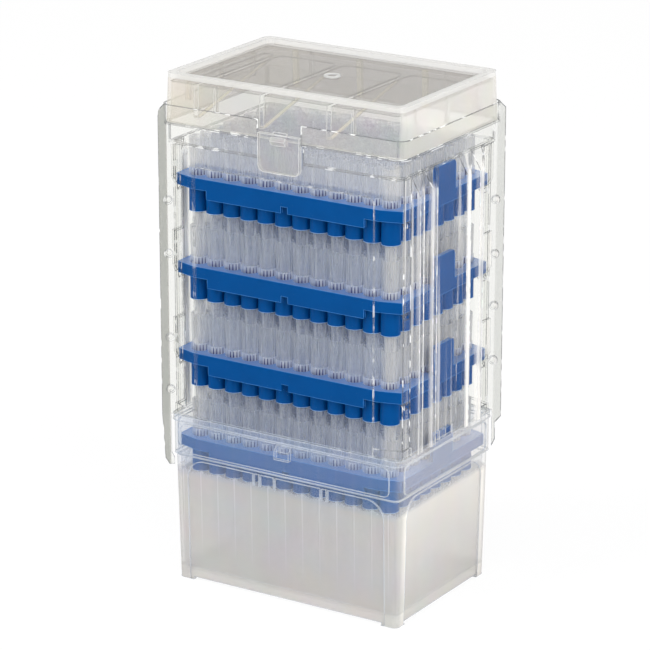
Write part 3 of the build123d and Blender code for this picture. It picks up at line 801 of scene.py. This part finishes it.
class TIPPACK_OT_sheath(bpy.types.Operator):
    """Give the two sheath halves their clear film."""

    bl_idname = "tippack.sheath"
    bl_label = "Clear sheath"

    def execute(self, context):
        self.settings = context.scene.tippack_sheath
        material = clear_plastic(
            "clear_film", self.body, self.glints, 0.6, skin=0.0, most=0.25, power=8.0,
            roughness=0.05, tint=self.settings.tint, ripple=self.settings.ripple,
        )
        # Dark and grey fold lines are painted shade, the flute crests' white lines painted highlights,
        # and all break into painted glints.
        kinds = (
            (0.13 * MM, glinting_line("film_line_shade", rgb(88, 92, 98), 0.42, 0.3)),
            (0.10 * MM, glinting_line("film_fold_shade", rgb(150, 154, 160), 0.2, 0.15)),
            (0.30 * MM, glinting_line("flute_fold_highlight", rgb(246, 246, 246), 0.35, 0.4, 0.3)),
        )
        for node in ("sheath_front", "sheath_back"):
            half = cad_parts[node]
            half.data.materials.clear()
            half.data.materials.append(material)
            name = node + "_folds"
            folds = fold_lines(name, half, math.radians(20), kinds, self.kind)
            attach(folds, "pack")
        return {"FINISHED"}

    def glints(self, shader):
        """Painted white upright glints on the fluted end walls below the band, a faint painted sheen on
        and just under the band, and greyer flanges, the left one darker as painted shade.
        """
        out = shader.axis(0).magnitude()
        end_wall = out.over(DECK_END + 0.3 * MM, 0.33 * MM)
        crest = out.over(DECK_END + 2.3 * MM, 1 * MM)
        low = shader.axis(2).under(BAND_FOOT, 1 * MM)
        fine = shader.streaks(2.6 * MM, 0.6, 10.0)
        wide = shader.streaks(5 * MM, 0.34, 5.0)
        flange = self.flange(shader)
        # Painted shade: the left flange shows more of its grey than the right.
        left = shader.axis(0).math("LESS_THAN", 0.0)
        fluted = (fine * 0.4 + crest * wide * 0.8 + 0.015) * end_wall * low * (1.0 - flange)
        collar_sheen = shader.axis(2).over(BAND_FOOT - 8 * MM, 1 * MM) * (1.0 - end_wall) * 0.07
        return fluted + flange * (left * 0.46 + 0.1) + collar_sheen

    def flange(self, shader):
        """1 on the two corner flanges."""
        across = shader.axis(0).magnitude().over(DECK_END + 1.8 * MM, CRISP)
        deep = shader.axis(1).magnitude().over(DECK_SIDE + 1.2 * MM, CRISP)
        return across * deep

    def body(self, shader):
        """Off-white glints, grey flanges and darker grey outlines of painted shade."""
        settings = self.settings
        plain = shader.mix_colour(self.flange(shader), settings.glint, settings.flange)
        return shader.mix_colour(shader.facing() ** 6.0, plain, settings.outline_shade)

    def kind(self, middle, along, length):
        """Dark lines of painted shade at the band, flanges and pockets, wide painted highlights on flute
        crests, else faint.
        """
        dark, faint, wide, none = 0, 1, 2, -1
        x, y, z = np.abs(middle).T
        past_end, past_side = x - DECK_END, y - DECK_SIDE
        kind = np.full(len(x), faint)
        flutes = (past_end > 1.4 * MM) & (past_side < -7 * MM) & (z < BAND_FOOT - 0.5 * MM)
        kind[flutes] = none
        kind[flutes & (past_end > 3.2 * MM) & (np.abs(along[:, 2]) > 0.9)] = wide
        band = (z > BAND_FOOT - 8 * MM) & (x > LATCH_HALF + 0.3 * MM)
        flange = (past_end > 2 * MM) & (past_side > 1 * MM)
        pocket = (past_end > -1.2 * MM) & (past_end < 1.4 * MM)
        pocket &= (past_side > -10.5 * MM) & (past_side < -2 * MM)
        kind[band | flange | pocket] = dark
        return kind


class TIPPACK_OT_lid(bpy.types.Operator):
    """Give the lid its clear, slightly hazy plastic."""

    bl_idname = "tippack.lid"
    bl_label = "Lid"

    def execute(self, context):
        self.settings = context.scene.tippack_lid
        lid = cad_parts["lid"]
        tint = self.settings.tint
        material = clear_plastic("lid_plastic", self.body, self.haze, 0.3, tint=tint, milky=0.15)
        lid.data.materials.clear()
        lid.data.materials.append(material)
        # White fold lines are painted highlights of the rounded edges.
        edges = clear_plastic("lid_edge_highlight", rgb(248, 248, 246), 0.3, 0.2, roughness=0.15)
        dark = clear_plastic("lid_line", rgb(96, 94, 92), 0.35, 0.2, roughness=0.15)
        kinds = ((0.25 * MM, edges), (0.12 * MM, dark))
        folds = fold_lines("lid_folds", lid, math.radians(25), kinds, self.kind)
        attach(folds, "lid")
        return {"FINISHED"}

    def places(self, shader):
        """How far a point belongs to the sunk top panel, to the rim round it, and to a brace."""
        height = shader.axis(2)
        rim = height.over(LID_TOP - 2.3 * MM, CRISP)
        panel = shader.facing_along(2) * height.over(LID_TOP - 5 * MM, CRISP) * (1.0 - rim)
        middle = (shader.axis(0) - BRACE_SHIFT).magnitude()
        outer = (middle - BRACE_SPACING).magnitude()
        brace = middle.math("MINIMUM", outer).under(1.4 * MM, CRISP)
        inside = shader.axis(1).over(3.15 * MM - LID_SIDE, CRISP)
        brace = brace * inside * height.under(LID_TOP - 4.6 * MM, CRISP)
        return panel, rim, brace * (1.0 - shader.facing_along(0))

    def body(self, shader):
        """Beige grey panel; grey white long walls, greyer as painted shade, and lighter end walls as
        painted light, all warmer towards the left; off-white rim; cream braces that are a painted
        reflection.
        """
        settings = self.settings
        panel, rim, brace = self.places(shader)
        ends = shader.axis(0).magnitude().over(LID_END - 2.75 * MM, 1 * MM)
        # End walls painted lighter as lit, long walls greyer as painted shade.
        walls = shader.mix_colour(ends, settings.wall, settings.end_wall)
        left = shader.axis(0).under(-28 * MM, 30.3 * MM)
        walls = shader.mix_colour(left, walls, settings.cream)
        walls = shader.mix_colour(0.12, walls, shader.noise_colour(11 * MM))
        top = shader.mix_colour(panel, walls, settings.panel)
        light = shader.mix_colour(rim, top, settings.rim)
        # The braces' cream is a painted reflection inside the clear braces.
        return shader.mix_colour(brace, light, settings.brace)

    def thin_brace(self, shader):
        """Less than 1 on the broad sides of the braces, which are clear."""
        inside = shader.axis(0).magnitude().under(LID_END - 6.25 * MM, CRISP)
        return 1.0 - shader.facing_along(0) * inside * 0.85

    def haze(self, shader):
        """Denser on the rim and the braces' edges than on the walls."""
        panel, rim, brace = self.places(shader)
        side = shader.axis(0).over(LID_END - 3.25 * MM, 1 * MM)
        front = shader.axis(1).under(1.75 * MM - LID_SIDE, 1 * MM) * (1.0 - rim)
        knob = shader.axis(1).under(KNOB_FRONT + 1.15 * MM, CRISP / 2)
        # The braces' dense share carries their painted reflection.
        share = rim * 0.2 + brace * 0.75 + side * 0.1 + front * 0.05 + knob * 0.4 + 0.25
        return share.clamped() * self.thin_brace(shader)

    def kind(self, middle, along, length):
        """Thin dark lines round the panes, white painted highlights elsewhere."""
        white, dark = 0, 1
        down = LID_TOP - middle[:, 2]
        return np.where((down > 3 * MM) & (down < 4.6 * MM), dark, white)


class TIPPACK_OT_stage(bpy.types.Operator):
    """Lay the pale floor, light it softly and set the camera."""

    bl_idname = "tippack.stage"
    bl_label = "Stage"

    def execute(self, context):
        settings = context.scene.tippack_stage
        self.floor(settings)
        self.sky(context, settings)
        self.lamps(context, settings)
        self.camera(context, settings)
        context.scene.view_settings.view_transform = "Standard"
        context.scene.cycles.transparent_max_bounces = 96  # a ray crosses many thin walls
        context.scene.cycles.max_bounces = 16
        context.scene.cycles.diffuse_bounces = 8
        return {"FINISHED"}

    def floor(self, settings):
        """A wide flat square just under the feet; its shadow shows at part strength."""
        shader = Shader("floor_pale")
        paint = shader.node("ShaderNodeBsdfDiffuse", inputs={"Color": settings.floor})
        glow = shader.node("ShaderNodeEmission", inputs={"Color": WHITE, "Strength": 1.03})
        material = shader.finish(shader.mix_shader(shader.seen() * 0.85, paint, glow))
        half, height = 8.0, cad_low[2] - 0.2 * MM
        corners = ((-half, -half), (half, -half), (half, half), (-half, half))
        points = np.array([(x, y, height) for x, y in corners])
        floor = make_mesh("floor", points, np.array([(0, 1, 2, 3)]), (material,))

    def sky(self, context, settings):
        """A white surround: full white where it is seen, softer where it lights."""
        world = bpy.data.worlds.new("studio")
        world.use_nodes = True
        context.scene.world = world
        shader = Shader("studio", world.node_tree)
        lit = settings.sky_strength
        strength = shader.seen() * (1.0 - lit) + lit
        inputs = {"Color": WHITE, "Strength": strength}
        shader.finish(shader.node("ShaderNodeBackground", inputs=inputs))

    def lamps(self, context, settings):
        """Two wide soft lamps: from the front left and above, and from the right."""
        target = Vector((0, 0, 0.12))
        for name, place, size in (
            ("main_lamp", Vector((-1.0, -1.5, 1.3)), 1.1),
            ("side_lamp", Vector((1.6, -0.7, 0.9)), 0.9),
        ):
            data = bpy.data.lights.new(name, "AREA")
            data.shape = "SQUARE"
            data.size = size
            data.energy = settings.lamp_power
            lamp = bpy.data.objects.new(name, data)
            lamp.location = place
            lamp.rotation_euler = (target - place).to_track_quat("-Z", "Y").to_euler()
            context.scene.collection.objects.link(lamp)

    def camera(self, context, settings):
        """A long lens on the front left corner, a little above the pack."""
        turn, rise = settings.azimuth, settings.elevation
        right = Vector((math.cos(turn), math.sin(turn), 0))
        level = Vector((math.sin(turn), -math.cos(turn), 0))
        away = level * math.cos(rise) + Vector((0, 0, math.sin(rise)))
        target = right * settings.sideways + Vector((0, 0, settings.height))
        data = bpy.data.cameras.new("camera")
        data.lens = settings.lens
        data.sensor_width = 36.0
        camera = bpy.data.objects.new("camera", data)
        camera.location = target + away * settings.distance
        camera.rotation_euler = (-away).to_track_quat("-Z", "Y").to_euler()
        context.scene.collection.objects.link(camera)
        context.scene.camera = camera


class TIPPACK_PT_panel(bpy.types.Panel):
    """Lists the pack's pieces and their settings."""

    bl_label = "Tip pack"
    bl_space_type = "VIEW_3D"
    bl_region_type = "UI"
    bl_category = "Tip pack"

    def draw(self, context):
        for operator in OPERATORS:
            self.layout.operator(operator.bl_idname)
        for group, name in SETTINGS.items():
            box = self.layout.box()
            box.label(text=group.__doc__)
            for setting in group.__annotations__:
                box.prop(getattr(context.scene, name), setting)


OPERATORS = (
    TIPPACK_OT_decks,
    TIPPACK_OT_tips,
    TIPPACK_OT_base,
    TIPPACK_OT_sheath,
    TIPPACK_OT_lid,
    TIPPACK_OT_stage,
)
SETTINGS = {
    DeckSettings: "tippack_decks",
    TipSettings: "tippack_tips",
    BaseSettings: "tippack_base",
    SheathSettings: "tippack_sheath",
    LidSettings: "tippack_lid",
    StageSettings: "tippack_stage",
}


def register():
    """Add the classes and their settings to Blender."""
    for group, name in SETTINGS.items():
        bpy.utils.register_class(group)
        setattr(bpy.types.Scene, name, bpy.props.PointerProperty(type=group))
    for cls in (*OPERATORS, TIPPACK_PT_panel):
        bpy.utils.register_class(cls)


def unregister():
    """Take them away again."""
    for cls in (TIPPACK_PT_panel, *reversed(OPERATORS)):
        bpy.utils.unregister_class(cls)
    for group, name in SETTINGS.items():
        delattr(bpy.types.Scene, name)
        bpy.utils.unregister_class(group)


def main():
    """Build every piece in order."""
    register()
    bpy.ops.tippack.decks()
    bpy.ops.tippack.tips()
    bpy.ops.tippack.base()
    bpy.ops.tippack.sheath()
    bpy.ops.tippack.lid()
    bpy.ops.tippack.stage()


if __name__ == "__main__":
    main()
